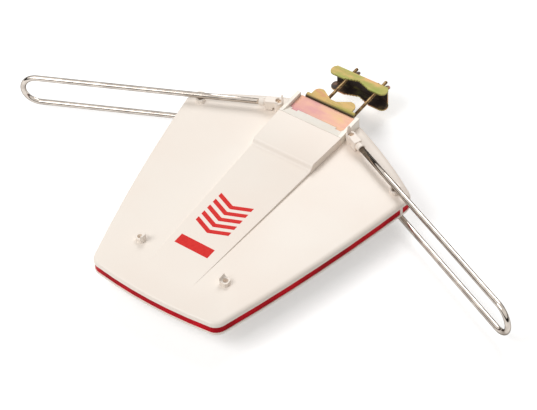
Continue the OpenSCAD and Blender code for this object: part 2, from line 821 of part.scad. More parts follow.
// Paired fans and a row of straight elements, each narrower towards the front
foil_t = 0.4;
fan_in = 7;
fan_out = span_w * 0.21;
fan_half = 26;
fan_y = deck_end_y - 27;
bar_w = 8;
bars = 4;
bar_pitch = 34;
bar_from_y = fan_y - fan_half - bar_pitch;
bar_step = 6;
feed_half = 3;
module copper_elements() {
    color([0.80, 0.48, 0.28]) translate([0, 0, board_top_z]) linear_extrude(foil_t) {
        for (side = [-1, 1]) polygon([
            [side * feed_half, fan_y - fan_in / 2], [side * fan_out, fan_y - fan_half],
            [side * fan_out, fan_y + fan_half], [side * feed_half, fan_y + fan_in / 2]]);
        for (i = [0 : bars - 1])
            translate([-fan_out + bar_step * i, bar_from_y - bar_pitch * i])
                square([2 * (fan_out - bar_step * i), bar_w]);
    }
}

// Amplifier under the deck, in a tinned can, with the socket through the lower shell
socket_y = collar_front_y - socket_at;
amp_z = collar_low_z + 11;
amp_w = 56;
amp_l = 40;
module amplifier_board() {
    color([0.20, 0.42, 0.26]) translate([-amp_w / 2, socket_y - amp_l / 2, amp_z]) difference() {
        cube([amp_w, amp_l, board_t]);
        translate([amp_w / 2, amp_l / 2, -over]) cylinder(d = pin_hole_d, h = board_t + 2 * over);
    }
}
can_w = 48;
can_l = 34;
can_h = 9;
can_t = 0.6;
module screening_can() {
    color([0.75, 0.75, 0.72]) translate([-can_w / 2, socket_y - can_l / 2, amp_z + board_t]) difference() {
        cube([can_w, can_l, can_h]);
        translate([can_t, can_t, -over])
            cube([can_w - 2 * can_t, can_l - 2 * can_t, can_h - can_t + over]);
    }
}

// Spring strips that join each pivot screw's tip to the board, above and below it
strip_t = 0.6;
strip_w = 7;
strip_end = [pivot_x - 21, deck_end_y + 9];
module strip(side) {
    tip = [pivot_x, pivot_y];
    across_it = left_of(unit(strip_end - tip)) * strip_w / 2;
    linear_extrude(strip_t) {
        translate([side * tip.x, tip.y]) circle(d = strip_w);
        polygon([for (p = [tip + across_it, strip_end + across_it,
                           strip_end - across_it, tip - across_it]) [side * p.x, p.y]]);
    }
}
module contact_strips() {
    color([0.80, 0.62, 0.35]) for (side = [-1, 1]) {
        translate([0, 0, board_top_z]) strip(side);
        translate([0, 0, board_z - strip_t]) strip(side);
    }
}

// Coaxial socket: threaded barrel out of the lower deck, held by a nut and washer.
// Inside the nut and the shell it is drawn at the root of its thread
socket_low_z = mid_z - rim_h / 2 - crown - deck_h;
flange_d = 14;
socket_thread = 0.45;
socket_core_d = socket_d - 2 * socket_thread;
nut_w = 11.2;
nut_h = 2.4;
pin_hole_d = 1.4;
module coax_socket() {
    color([0.78, 0.78, 0.76]) translate([0, socket_y, 0]) difference() {
        union() {
            translate([0, 0, socket_low_z - socket_l])
                cylinder(d = socket_d, h = socket_l - washer_t - nut_h);
            translate([0, 0, socket_low_z - washer_t - nut_h - 0.5])
                cylinder(d = socket_core_d, h = amp_z - socket_low_z + washer_t + nut_h + 0.5);
            translate([0, 0, socket_low_z + wall]) cylinder(d = flange_d, h = 2);
        }
        translate([0, 0, socket_low_z - socket_l - over]) cylinder(d = pin_hole_d, h = 8 + over);
        translate([0, 0, socket_low_z - socket_l - over])
            cylinder(d = socket_d - 3, h = 1 + over);
    }
}
module socket_nut() {
    color([0.74, 0.74, 0.70]) translate([0, socket_y, socket_low_z - washer_t - nut_h]) difference() {
        cylinder(d = nut_w / cos(30), h = nut_h, $fn = 6);
        translate([0, 0, -over]) cylinder(d = socket_core_d, h = nut_h + 2 * over);
    }
}
module socket_washer() {
    color([0.70, 0.70, 0.66]) translate([0, socket_y, socket_low_z - washer_t]) difference() {
        cylinder(d = flange_d, h = washer_t);
        translate([0, 0, -over]) cylinder(d = socket_core_d, h = washer_t + 2 * over);
    }
}

upper_shell();
lower_shell();
red_band();
mount_collar();
mount_bracket();
fixed_jaw();
clamp_bolt(-1);  // clamp_bolt_left
clamp_bolt(1);  // clamp_bolt_right
bolt_washers();
saddle();
nut_washers();
spring_washers();
wing_nut(-1);  // wing_nut_left
wing_nut(1);  // wing_nut_right
antenna_loop(-1);  // loop_left
antenna_loop(1);  // loop_right
upper_plug(-1);  // upper_plug_left
upper_plug(1);  // upper_plug_right
lower_plug(-1);  // lower_plug_left
lower_plug(1);  // lower_plug_right
upper_pivot_screws();
lower_pivot_screws();
bracket_screws();
housing_screws();
element_board();
copper_elements();
amplifier_board();
screening_can();
contact_strips();
coax_socket();
socket_nut();
socket_washer();
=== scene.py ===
"""Finishes and fine pieces of a flat outdoor TV antenna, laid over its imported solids."""

import math

import bmesh
import bpy
from mathutils import Matrix, Vector


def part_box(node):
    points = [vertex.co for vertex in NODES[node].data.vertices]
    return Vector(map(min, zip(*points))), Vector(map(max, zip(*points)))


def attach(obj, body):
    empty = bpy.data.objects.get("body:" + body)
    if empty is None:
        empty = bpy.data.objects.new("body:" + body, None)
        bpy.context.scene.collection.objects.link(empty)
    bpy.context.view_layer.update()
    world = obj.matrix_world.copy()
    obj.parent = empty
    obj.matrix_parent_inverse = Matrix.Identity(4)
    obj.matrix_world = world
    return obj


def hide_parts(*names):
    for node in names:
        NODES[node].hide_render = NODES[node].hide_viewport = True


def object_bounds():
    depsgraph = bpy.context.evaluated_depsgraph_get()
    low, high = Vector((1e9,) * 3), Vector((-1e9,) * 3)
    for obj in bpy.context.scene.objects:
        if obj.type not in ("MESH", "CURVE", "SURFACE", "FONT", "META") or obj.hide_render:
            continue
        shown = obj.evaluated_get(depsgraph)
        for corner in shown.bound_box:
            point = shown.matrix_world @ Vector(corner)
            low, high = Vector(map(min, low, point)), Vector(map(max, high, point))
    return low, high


bl_info = {
    "name": "Outdoor TV Antenna",
    "version": (1, 0, 0),
    "blender": (4, 5, 0),
    "location": "3D View > Sidebar > Antenna",
    "description": "Plastic, plated steel, bright tube and print for a flat outdoor antenna",
    "category": "Object",
}

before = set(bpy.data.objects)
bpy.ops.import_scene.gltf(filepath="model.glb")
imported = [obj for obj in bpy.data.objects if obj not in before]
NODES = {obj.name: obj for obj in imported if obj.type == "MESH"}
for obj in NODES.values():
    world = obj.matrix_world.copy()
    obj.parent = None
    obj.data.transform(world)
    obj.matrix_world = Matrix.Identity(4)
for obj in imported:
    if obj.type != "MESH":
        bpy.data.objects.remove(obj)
CAD_BOX = [list(corner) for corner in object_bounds()]

ROUND = 32  # sides of a round piece
SHEET = 0.0022  # thickness of the saddle's sheet with a little room, in metres


def srgb(red, green, blue):
    """A colour given in 0 to 255 steps of a screen, as linear light."""
    return tuple(
        c / 12.92 if c <= 0.04045 else ((c + 0.055) / 1.055) ** 2.4
        for c in (red / 255, green / 255, blue / 255)
    ) + (1.0,)


def stops(*rows):
    """Stops of a colour ramp: each row is a place from 0 to 1 and a screen colour."""
    return [(at, srgb(*color)) for at, *color in rows]


# Shader sums


class Value:
    """A shader socket that adds, multiplies and compares like a number."""

    def __init__(self, tree, socket):
        self.tree = tree
        self.socket = socket

    def math(self, operation, *others):
        return self.tree.node("ShaderNodeMath", {"operation": operation}, [self, *others])

    def __add__(self, other):
        return self.math("ADD", other)

    __radd__ = __add__

    def __sub__(self, other):
        return self.math("SUBTRACT", other)

    def __rsub__(self, other):
        return self.tree.node("ShaderNodeMath", {"operation": "SUBTRACT"}, [other, self])

    def __mul__(self, other):
        return self.math("MULTIPLY", other)

    __rmul__ = __mul__

    def __lt__(self, other):
        return self.math("LESS_THAN", other)

    def __gt__(self, other):
        return self.math("GREATER_THAN", other)

    def between(self, low, high):
        """Rises softly from 0 at low to 1 at high."""
        return self.tree.node(
            "ShaderNodeMapRange",
            {"interpolation_type": "SMOOTHSTEP"},
            {"Value": self, "From Min": low, "From Max": high},
        )


class Tree:
    """A node tree that nodes are added to."""

    def __init__(self, tree):
        self.tree = tree

    def node(self, kind, settings=None, sockets=None, out=0):
        """Adds a node, sets it up, fills its sockets and returns one output."""
        made = self.tree.nodes.new(kind)
        for name, value in (settings or {}).items():
            if name == "stops":
                ramp = made.color_ramp
                while len(ramp.elements) < len(value):
                    ramp.elements.new(1.0)
                for element, (at, color) in zip(ramp.elements, value):
                    element.position = at
                    element.color = color
            else:
                setattr(made, name, value)
        named = sockets.items() if isinstance(sockets, dict) else enumerate(sockets or [])
        for key, value in named:
            self.fill(made.inputs[key], value)
        return Value(self, made.outputs[out])

    def fill(self, socket, value):
        """Links a value to a socket, or sets the socket to a number or colour."""
        if isinstance(value, Value):
            self.tree.links.new(value.socket, socket)
        else:
            socket.default_value = value

    def looked_at(self):
        """1 where the camera looks straight, by a mirror or through glass, and 0 elsewhere."""
        camera = self.node("ShaderNodeLightPath", out="Is Camera Ray")
        rays = camera.socket.node.outputs
        others = [Value(self, rays[name]) for name in ("Is Glossy Ray", "Is Transmission Ray")]
        return sum(others, camera).math("MINIMUM", 1.0)


class Finish(Tree):
    """A material built round one Principled shader."""

    def __init__(self, name, roughness, metallic=0.0, **sockets):
        self.material = bpy.data.materials.new(name)
        self.material.use_nodes = True
        super().__init__(self.material.node_tree)
        self.shader = self.tree.nodes["Principled BSDF"]
        self.set("Roughness", roughness)
        self.set("Metallic", metallic)
        for socket, value in sockets.items():
            self.set(socket.replace("_", " "), value)
        self.place = self.node("ShaderNodeTexCoord", out="Object")

    def set(self, name, value):
        """Sets or links one socket of the shader."""
        self.fill(self.shader.inputs[name], value)

    def axis(self, name):
        """One coordinate of the point at rest, in millimetres."""
        return self.node("ShaderNodeSeparateXYZ", None, [self.place], out=name) * 1000.0

    def noise(self, scale, detail=3.0, roughness=0.5, stretch=None):
        """Smooth random field from about 0.3 to 0.7; scale is in cycles a metre."""
        place = self.place
        if stretch:
            place = self.node(
                "ShaderNodeVectorMath", {"operation": "MULTIPLY"}, [self.place, stretch]
            )
        return self.node(
            "ShaderNodeTexNoise",
            None,
            {"Vector": place, "Scale": scale, "Detail": detail, "Roughness": roughness},
            out="Fac",
        )

    def mix(self, factor, first, second):
        """Mixes two colours."""
        return self.node(
            "ShaderNodeMix", {"data_type": "RGBA"}, {0: factor, 6: first, 7: second}, out=2
        )

    def ramp(self, field, rows):
        """Colours picked along a field."""
        return self.node("ShaderNodeValToRGB", {"stops": rows}, [field])

    def relief(self, height, depth, edge=0.0):
        """Bumps the surface by height times depth in metres, over edges softened by edge."""
        sockets = {"Height": height, "Distance": depth, "Strength": 1.0}
        if edge:
            sockets["Normal"] = self.node("ShaderNodeBevel", {"samples": 6}, {"Radius": edge})
        self.set("Normal", self.node("ShaderNodeBump", None, sockets))


# Mesh helpers


def smooth_group():
    """A modifier that welds a solid's mesh and smooths it everywhere but at true edges."""
    name, weld_gap, crease = "smooth_by_angle", 0.000002, math.radians(32)
    if name in bpy.data.node_groups:
        return bpy.data.node_groups[name]
    group = bpy.data.node_groups.new(name, "GeometryNodeTree")
    for way in ("INPUT", "OUTPUT"):
        group.interface.new_socket("Geometry", in_out=way, socket_type="NodeSocketGeometry")
    new, link = group.nodes.new, group.links.new
    start, end = new("NodeGroupInput"), new("NodeGroupOutput")
    clear = new("GeometryNodeRemoveAttribute")
    clear.inputs["Name"].default_value = "custom_normal"
    weld = new("GeometryNodeMergeByDistance")
    weld.inputs["Distance"].default_value = weld_gap
    faces = new("GeometryNodeSetShadeSmooth")
    faces.domain = "FACE"
    edges = new("GeometryNodeSetShadeSmooth")
    edges.domain = "EDGE"
    edges.inputs["Shade Smooth"].default_value = False
    angle = new("GeometryNodeInputMeshEdgeAngle")
    sharp = new("FunctionNodeCompare")
    sharp.operation = "GREATER_THAN"
    sharp.inputs[1].default_value = crease
    chain = (start, clear, weld, faces, edges, end)
    for one, two in zip(chain, chain[1:]):
        link(one.outputs[0], two.inputs[0])
    link(angle.outputs[0], sharp.inputs[0])
    link(sharp.outputs[0], edges.inputs["Selection"])
    return group


def dress(finish, *nodes):
    """Gives solids their finish and smooth shading."""
    for name in nodes:
        solid = NODES[name]
        solid.data.materials.clear()
        solid.data.materials.append(finish.material)
        modifier = solid.modifiers.new("smooth", "NODES")
        modifier.node_group = smooth_group()


def melt(mesh, voxel):
    """Replaces overlapping solids by one rounded skin, as a casting has."""
    holder = bpy.data.objects.new("blank", mesh)
    bpy.context.scene.collection.objects.link(holder)
    remesh = holder.modifiers.new("remesh", "REMESH")
    remesh.mode = "VOXEL"
    remesh.voxel_size = voxel
    smooth = holder.modifiers.new("smooth", "SMOOTH")
    smooth.factor = 0.5
    smooth.iterations = 4
    graph = bpy.context.evaluated_depsgraph_get()
    made = bpy.data.meshes.new_from_object(holder.evaluated_get(graph))
    bpy.data.objects.remove(holder)
    return made


def add_object(name, mesh, finish):
    """Links a mesh to the scene with its finish."""
    made = bpy.data.objects.new(name, mesh)
    bpy.context.scene.collection.objects.link(made)
    mesh.materials.clear()
    mesh.materials.append(finish.material)
    return made


def to_mesh(name, bm):
    """Turns a bmesh into a mesh and frees it."""
    mesh = bpy.data.meshes.new(name)
    bm.to_mesh(mesh)
    bm.free()
    return mesh


def add_piece(name, bm, finish, body, replaces=(), flat=False, angle=None, remesh=None):
    """Turns a bmesh into a piece of the object that rides on a body."""
    bmesh.ops.recalc_face_normals(bm, faces=bm.faces)
    for face in bm.faces:
        face.smooth = not flat
    if angle:
        for edge in bm.edges:
            edge.smooth = edge.calc_face_angle(0.0) < math.radians(angle)
    mesh = to_mesh(name, bm)
    if remesh:
        mesh = melt(mesh, remesh)
        mesh.name = name
        mesh.polygons.foreach_set("use_smooth", [True] * len(mesh.polygons))
    piece = add_object(name, mesh, finish)
    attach(piece, body)
    if replaces:
        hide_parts(*replaces)


def turns(sides):
    """Equal angles once round."""
    return (math.tau * k / sides for k in range(sides))


def circle(bm, radius, z, sides=ROUND):
    """A ring of new vertices round the Z axis."""
    return [bm.verts.new((radius * math.cos(t), radius * math.sin(t), z)) for t in turns(sides)]


def skin(bm, rings, closed):
    """Joins rings of equal length with quads, and caps both ends if asked."""
    count = len(rings[0])
    for one, two in zip(rings, rings[1:]):
        for k in range(count):
            n = (k + 1) % count
            bm.faces.new((one[k], one[n], two[n], two[k]))
    if closed:
        bm.faces.new(rings[0][::-1])
        bm.faces.new(rings[-1])


def thread(bm, radius, length, pitch, sides=18, steps=4):
    """A threaded rod up the Z axis: the crest winds once round in each pitch."""
    deepest = pitch * 0.55
    rings = []
    count = int(length / pitch * steps)
    for step in range(count + 1):
        z = length * step / count
        runs_out = min((length - z) / pitch, z / pitch + 0.2) < 1
        ring = []
        for k in range(sides):
            phase = (z / pitch - k / sides) % 1.0
            depth = deepest if runs_out else deepest * (1 - abs(2 * phase - 1))
            ring.append(bm.verts.new((
                (radius - depth) * math.cos(math.tau * k / sides),
                (radius - depth) * math.sin(math.tau * k / sides), z)))
        rings.append(ring)
    skin(bm, rings, True)


# Settings


def color_setting(name, description, default):
    return bpy.props.FloatVectorProperty(
        name=name, description=description, default=default,
        size=4, subtype="COLOR", min=0, max=1)


def length_setting(name, description, default, low, high):
    return bpy.props.FloatProperty(
        name=name, description=description, default=default,
        min=low, max=high, subtype="DISTANCE", unit="LENGTH")


class HousingSettings(bpy.types.PropertyGroup):
    """Colours of the moulded parts."""

    cream: color_setting("Shell colour", "Colour of the two shells", srgb(247, 238, 228))
    white: color_setting("Collar colour", "Colour of the collar at the back", srgb(255, 250, 241))
    red: color_setting("Band colour", "Colour of the band round the edge", srgb(212, 4, 30))


class PrintSettings(bpy.types.PropertyGroup):
    """The plain print on the spine."""

    ink: color_setting("Ink", "Colour of the print", srgb(224, 46, 38))
    chevrons: bpy.props.IntProperty(
        name="Chevrons", description="How many chevrons point forward", default=5, min=1, max=8)
    half_width: length_setting("Half width", "Half of the print's width", 0.027, 0.005, 0.034)


class LoopSettings(bpy.types.PropertyGroup):
    """Sizes of the tube loops, as in the solids."""

    tube: length_setting("Tube diameter", "Outer diameter of the tube", 0.008, 0.004, 0.012)
    height: length_setting(
        "Rod distance", "Distance between the middles of the two rods", 0.046, 0.03, 0.06)
    reach: length_setting("Reach", "From the pivot to the outer end", 0.379, 0.3, 0.4)
    sweep: bpy.props.FloatProperty(
        name="Sweep", description="Forward sweep of an open loop", default=math.radians(24.5),
        min=0, max=1, subtype="ANGLE", unit="ROTATION")


class ThreadSettings(bpy.types.PropertyGroup):
    """Threads of the clamp bolts and the coaxial socket."""

    bolt_pitch: length_setting(
        "Bolt pitch", "Thread pitch of the clamp bolts", 0.0008, 0.0005, 0.002)
    socket_pitch: length_setting(
        "Socket pitch", "Thread pitch of the coaxial socket", 0.00079, 0.0005, 0.002)


class StageSettings(bpy.types.PropertyGroup):
    """Camera and light."""

    lens: bpy.props.FloatProperty(
        name="Lens", description="Focal length of the camera, in millimetres on a 36 mm frame",
        default=125.3, min=20, max=300)
    key: bpy.props.FloatProperty(
        name="Key light", description="Power of the large lamp at the front left, in watts",
        default=42.0, min=0, max=200)
    back: bpy.props.FloatProperty(
        name="Back light", description="Power of the large lamp behind the clamp, in watts",
        default=36.0, min=0, max=200)
    sky: bpy.props.FloatProperty(
        name="Sky light", description="Level of the light from all round, where 1 is white",
        default=0.38, min=0, max=1)


# Finishes


def plated(name, metallic, scale, rows, shade=None):
    """Passivated steel: colours that drift in streaks along the rolled sheet, over fine grain.

    A shade is a mask and the dark colour painted there as painted shade.
    """
    metal = Finish(name, 0.52, metallic)
    drift = metal.noise(scale, 4.0, 0.6, (0.45, 1.0, 0.8))
    grain = metal.noise(260.0, 5.0, 0.65, (0.08, 1.0, 1.0))
    color = metal.ramp((drift * 0.86 + grain * 0.14).between(0.32, 0.68), rows)
    # Painted shade: the dark colour is laid on where the mask is.
    if shade:
        mask, dark = shade
        color = metal.mix(mask(metal), color, dark)
    metal.set("Base Color", color)
    metal.set("Roughness", grain * 0.24 + 0.4)
    metal.relief(grain, 0.00004, edge=0.0004)
    return metal


def mottled(name, metallic, scale, detail, tones, rough, spread=0.2, stretch=None):
    """Two close colours in soft patches, with a roughness that drifts from rough[0] upwards."""
    lowest, rise = rough
    finish = Finish(name, lowest, metallic)
    patch = finish.noise(scale, detail, 0.5, stretch)
    finish.set("Base Color", finish.mix(patch.between(0.5 - spread, 0.5 + spread), *tones))
    if rise:
        finish.set("Roughness", patch * rise + lowest)
    return finish


def bright_tube():
    """Bright plated tube with faint drawing lines, a little dust and a painted dark reflection
    along its edges.
    """
    # The dark specular tint paints a dark reflection along the tube's grazing edges.
    bright = Finish("bright_tube", 0.12, 1.0, Specular_Tint=srgb(70, 64, 60))
    lines = bright.noise(900.0, 2.0, 0.5, (0.02, 0.02, 1.0))
    haze = bright.noise(55.0, 4.0, 0.6)
    bright.set("Base Color", bright.mix(
        haze.between(0.35, 0.7), srgb(188, 179, 171), srgb(222, 213, 203)))
    bright.set("Roughness", haze * 0.14 + lines * 0.04 + 0.02)
    return bright


# Pieces


class ANTENNA_OT_housing(bpy.types.Operator):
    """Finish the shells, plugs, collar and band"""

    bl_idname = "antenna.housing"
    bl_label = "Housing"

    def execute(self, context):
        chosen = context.scene.antenna_housing
        shell = Finish("cream_shell", 0.36)
        cloud = shell.noise(7.0, 3.0)
        grain = shell.noise(2400.0, 2.0)
        shell.set("Base Color", shell.mix(
            cloud.between(0.3, 0.7), tuple(chosen.cream), srgb(246, 234, 223)))
        shell.set("Roughness", cloud * 0.1 + grain * 0.06 + 0.28)
        shell.relief(grain, 0.00001, edge=0.0006)
        dress(shell, "upper_shell", "lower_shell", "upper_plug_left", "upper_plug_right",
              "lower_plug_left", "lower_plug_right")

        collar = Finish("white_collar", 0.34)
        speck = collar.noise(300.0, 3.0)
        collar.set("Base Color", collar.mix(
            collar.noise(30.0).between(0.35, 0.7), tuple(chosen.white), srgb(252, 245, 233)))
        collar.set("Roughness", speck * 0.12 + 0.28)
        collar.relief(speck, 0.00001, edge=0.0006)
        dress(collar, "mount_collar")

        band = Finish("red_band", 0.45, Specular_IOR_Level=0.05)
        stain_and_reflection = band.noise(24.0, 4.0)
        band.set("Base Color", band.mix(
            stain_and_reflection.between(0.3, 0.75), tuple(chosen.red), srgb(164, 8, 24)))
        band.set("Roughness", stain_and_reflection * 0.2 + 0.34)
        band.relief(band.noise(700.0), 0.00001)
        dress(band, "red_band")
        return {"FINISHED"}


class ANTENNA_OT_print(bpy.types.Operator):
    """Print plain chevrons and a bar on the spine"""

    bl_idname = "antenna.print"
    bl_label = "Print"

    def execute(self, context):
        chosen = context.scene.antenna_print
        ink = Finish("print_ink", 0.5, Specular_IOR_Level=0.2)
        worn = ink.noise(240.0, 4.0)
        ink.set("Base Color", ink.mix(
            worn.between(0.25, 0.8), tuple(chosen.ink), srgb(214, 34, 34)))
        ink.set("Roughness", worn * 0.15 + 0.42)
        middle, first_back, bar_back, bar_front = -0.0026, -0.243, -0.33, -0.3465
        thick, gap, point = 0.0068, 0.0058, 0.011
        left, right = middle - chosen.half_width, middle + chosen.half_width
        bm = bmesh.new()
        for index in range(chosen.chevrons):
            back = first_back - index * (thick + gap)
            front = back - thick
            self.patch(bm, [(left, back), (middle, back - point), (right, back),
                            (right, front), (middle, front - point), (left, front)])
        self.patch(bm, [(left, bar_back), (right, bar_back),
                        (right, bar_front), (left, bar_front)])
        add_piece("print_patches", bm, ink, "housing", flat=True)
        return {"FINISHED"}

    def patch(self, bm, outline):
        """A thin slab of ink that follows the spine's slope."""
        sunk, proud = -0.0002, 0.00012
        low, high = (
            [bm.verts.new((x, y, self.spine_z(y) + lift)) for x, y in outline]
            for lift in (sunk, proud)
        )
        count = len(outline)
        quads = ((0, 1, 4, 5), (1, 2, 3, 4)) if count == 6 else ((0, 1, 2, 3),)
        for quad in quads:
            bm.faces.new([high[k] for k in quad])
            bm.faces.new([low[k] for k in reversed(quad)])
        for k in range(count):
            n = (k + 1) % count
            bm.faces.new((low[k], low[n], high[n], high[k]))

    def spine_z(self, y):
        """Height of the spine's top at a place in front of the deck."""
        front, back, face, rise = -0.39646, -0.14846, 0.0171, 0.004
        return face + rise * (y - front) / (back - front)


class ANTENNA_OT_loops(bpy.types.Operator):
    """Sweep the two bright tube loops"""

    bl_idname = "antenna.loops"
    bl_label = "Loops"

    def execute(self, context):
        bright = bright_tube()
        for side, name in ((-1, "left"), (1, "right")):
            bm = bmesh.new()
            self.hairpin(bm, context.scene.antenna_loops, side)
            add_piece("tube_loop_" + name, bm, bright, name + "_loop",
                      ("loop_" + name,))
        return {"FINISHED"}

    def hairpin(self, bm, chosen, side):
        """Sweeps a round section along both rods and the half-round end."""
        radius, rise = chosen.tube / 2, chosen.height / 2
        bend = chosen.reach - rise - radius
        upright = math.pi / 2
        rod = (0.0125, 0.1, 0.2, 0.3)
        path = [(reach, rise, upright) for reach in rod]
        path += [(bend + rise * math.sin(a), rise * math.cos(a), upright - a)
                 for a in (math.pi * k / ROUND for k in range(ROUND + 1))]
        path += [(reach, -rise, -upright) for reach in reversed(rod)]
        pivot = Vector((side * 0.061, -0.06646, 0.0045))
        along = Vector((side * math.cos(chosen.sweep), -math.sin(chosen.sweep), 0))
        across = Vector((along.y, -along.x, 0))
        rings = []
        for reach, height, tilt in path:
            out = along * math.cos(tilt) + Vector((0, 0, math.sin(tilt)))
            middle = pivot + along * reach + Vector((0, 0, height))
            rings.append([
                bm.verts.new(middle + (out * math.cos(t) + across * math.sin(t)) * radius)
                for t in turns(ROUND)])
        skin(bm, rings, True)


class ANTENNA_OT_clamp(bpy.types.Operator):
    """Finish the bracket, jaw and saddle, and cut the bolts' threads"""

    bl_idname = "antenna.clamp"
    bl_label = "Clamp"

    def execute(self, context):
        pink = plated("pink_bracket", 0.3, 30.0, stops(
            (0.0, 204, 146, 148), (0.35, 214, 162, 148), (0.65, 220, 172, 148),
            (0.88, 220, 178, 142), (1.0, 212, 188, 124)))
        dress(pink, "mount_bracket")
        # The jaw's bend behind its web gets painted shade, a dark olive laid on by position.
        yellow = plated("yellow_jaw", 0.4, 42.0, stops(
            (0.0, 192, 134, 108), (0.25, 194, 160, 96), (0.5, 186, 158, 100),
            (0.75, 174, 152, 84), (1.0, 152, 146, 70)), (self.painted_fold_shade, srgb(58, 48, 20)))
        dress(yellow, "fixed_jaw")
        # The saddle's inner faces get painted shade, a dark colour laid on by position.
        olive = plated("olive_saddle", 0.4, 36.0, stops(
            (0.0, 208, 142, 104), (0.4, 186, 158, 96), (0.65, 162, 154, 84),
            (1.0, 142, 152, 72)), (self.inside, srgb(56, 46, 42)))
        dress(olive, "saddle")
        plate = mottled("bolt_plate", 0.9, 220.0, 4.0, (srgb(96, 72, 50), srgb(160, 134, 94)),
                        (0.2, 0.3), 0.15)
        dress(plate, "bolt_washers", "nut_washers", "spring_washers")
        for name in ("clamp_bolt_left", "clamp_bolt_right"):
            self.bolt(name, plate, context.scene.antenna_threads.bolt_pitch)
        return {"FINISHED"}

    def painted_fold_shade(self, metal):
        """Mask of the painted shade on the jaw's bend, just behind its web."""
        fold_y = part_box("fixed_jaw")[0][1] * 1000
        return 1.0 - metal.axis("Y").between(fold_y + 0.6, fold_y + 3.4)

    def inside(self, metal):
        """Mask of the painted shade on the saddle's inner faces, with a few lighter patches of
        painted reflection.
        """
        saddle_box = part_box("saddle")
        inner_y = (saddle_box[1][1] - SHEET) * 1000
        inner_z = (saddle_box[1][2] - SHEET) * 1000
        height = metal.axis("Z").math("ABSOLUTE")
        # Lighter patches in the painted shade are painted reflections.
        stain_and_reflection = metal.noise(60.0, 3.0, 0.5, (1.0, 1.0, 2.0)).between(0.5, 0.72)
        return (height < inner_z) * (metal.axis("Y") < inner_y) * (1.0 - stain_and_reflection * 0.3)

    def bolt(self, name, plate, pitch):
        """A hexagon bolt with its thread, in place of the plain one."""
        head, apothem, radius = 0.0035, 0.004, 0.0025
        low, high = (Vector(corner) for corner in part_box(name))
        bm = bmesh.new()
        self.head(bm, apothem, head)
        thread(bm, radius, high.y - low.y - head, pitch)
        axis = Vector(((low.x + high.x) / 2, low.y + head, (low.z + high.z) / 2))
        lay = Matrix.Translation(axis) @ Matrix.Rotation(-math.pi / 2, 4, "X")
        bmesh.ops.transform(bm, verts=bm.verts, matrix=lay)
        add_piece("threaded_" + name, bm, plate, "housing", (name,), angle=35)

    def head(self, bm, apothem, height):
        """A hexagon head with rounded-over corners, below the bolt's own origin."""
        sector = math.pi / 3
        corner = apothem / math.cos(sector / 2)
        rings = []
        for z, limit in ((-height, apothem * 0.93), (-height * 0.86, corner), (0.0, corner)):
            ring = []
            for a in turns(48):
                flat = apothem / math.cos((a + sector / 2) % sector - sector / 2)
                reach = min(flat, limit)
                ring.append(bm.verts.new((reach * math.cos(a), reach * math.sin(a), z)))
            rings.append(ring)
        skin(bm, rings, True)


class ANTENNA_OT_wing_nuts(bpy.types.Operator):
    """Cast the two wing nuts"""

    bl_idname = "antenna.wing_nuts"
    bl_label = "Wing nuts"

    def execute(self, context):
        cast = Finish("cast_nut", 0.45, 0.75)
        patch = cast.noise(160.0, 4.0, 0.6)
        cast.set("Base Color", cast.ramp(patch.between(0.3, 0.7), stops(
            (0.0, 52, 45, 44), (0.45, 92, 78, 72), (0.75, 134, 112, 96), (1.0, 168, 118, 84))))
        cast.set("Roughness", patch * 0.3 + 0.28)
        cast.relief(cast.noise(900.0, 3.0), 0.00006)
        for name, lift in (("left", 24.0), ("right", 12.0)):
            low, high = (Vector(corner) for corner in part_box("wing_nut_" + name))
            bm = bmesh.new()
            self.hub(bm)
            for side in (-1, 1):
                self.wing(bm, side)
            axis = Vector(((low.x + high.x) / 2, low.y, (low.z + high.z) / 2))
            place = (Matrix.Translation(axis) @ Matrix.Rotation(-math.pi / 2, 4, "X")
                     @ Matrix.Rotation(math.radians(-lift), 4, "Z"))
            bmesh.ops.transform(bm, verts=bm.verts, matrix=place)
            add_piece("cast_wing_nut_" + name, bm, cast, name + "_wing_nut",
                      ("wing_nut_" + name,), remesh=0.00045)
        return {"FINISHED"}

    def hub(self, bm):
        """A low cone with a bore."""
        profile = ((0.0048, 0.0), (0.005, 0.0006), (0.0044, 0.0045), (0.0041, 0.0064),
                   (0.0036, 0.007), (0.0027, 0.007), (0.0027, 0.0))
        rings = [circle(bm, radius, z) for radius, z in profile]
        skin(bm, rings + rings[:1], False)

    def wing(self, bm, side):
        """One rounded ear that overlaps the hub, which the remesh then melts into it."""
        ear, ear_x, ear_z = 0.0042, 0.009, 0.0096
        root_x, root_top, root_foot = 0.0033, 0.0062, 0.0012
        middle_x, middle_z = side * 0.0082, 0.0078
        outline = [(side * (ear_x + ear * math.cos(t)), ear_z + ear * math.sin(t))
                   for t in (math.radians(a) for a in range(-50, 200, 12))]
        outline += [(side * root_x, root_top), (side * root_x, root_foot)]
        skin(bm, [
            [bm.verts.new((middle_x + (x - middle_x) * grow, y, middle_z + (z - middle_z) * grow))
             for x, z in outline]
            for y, grow in ((-0.0012, 0.93), (-0.0008, 1.0), (0.0008, 1.0), (0.0012, 0.93))
        ], True)


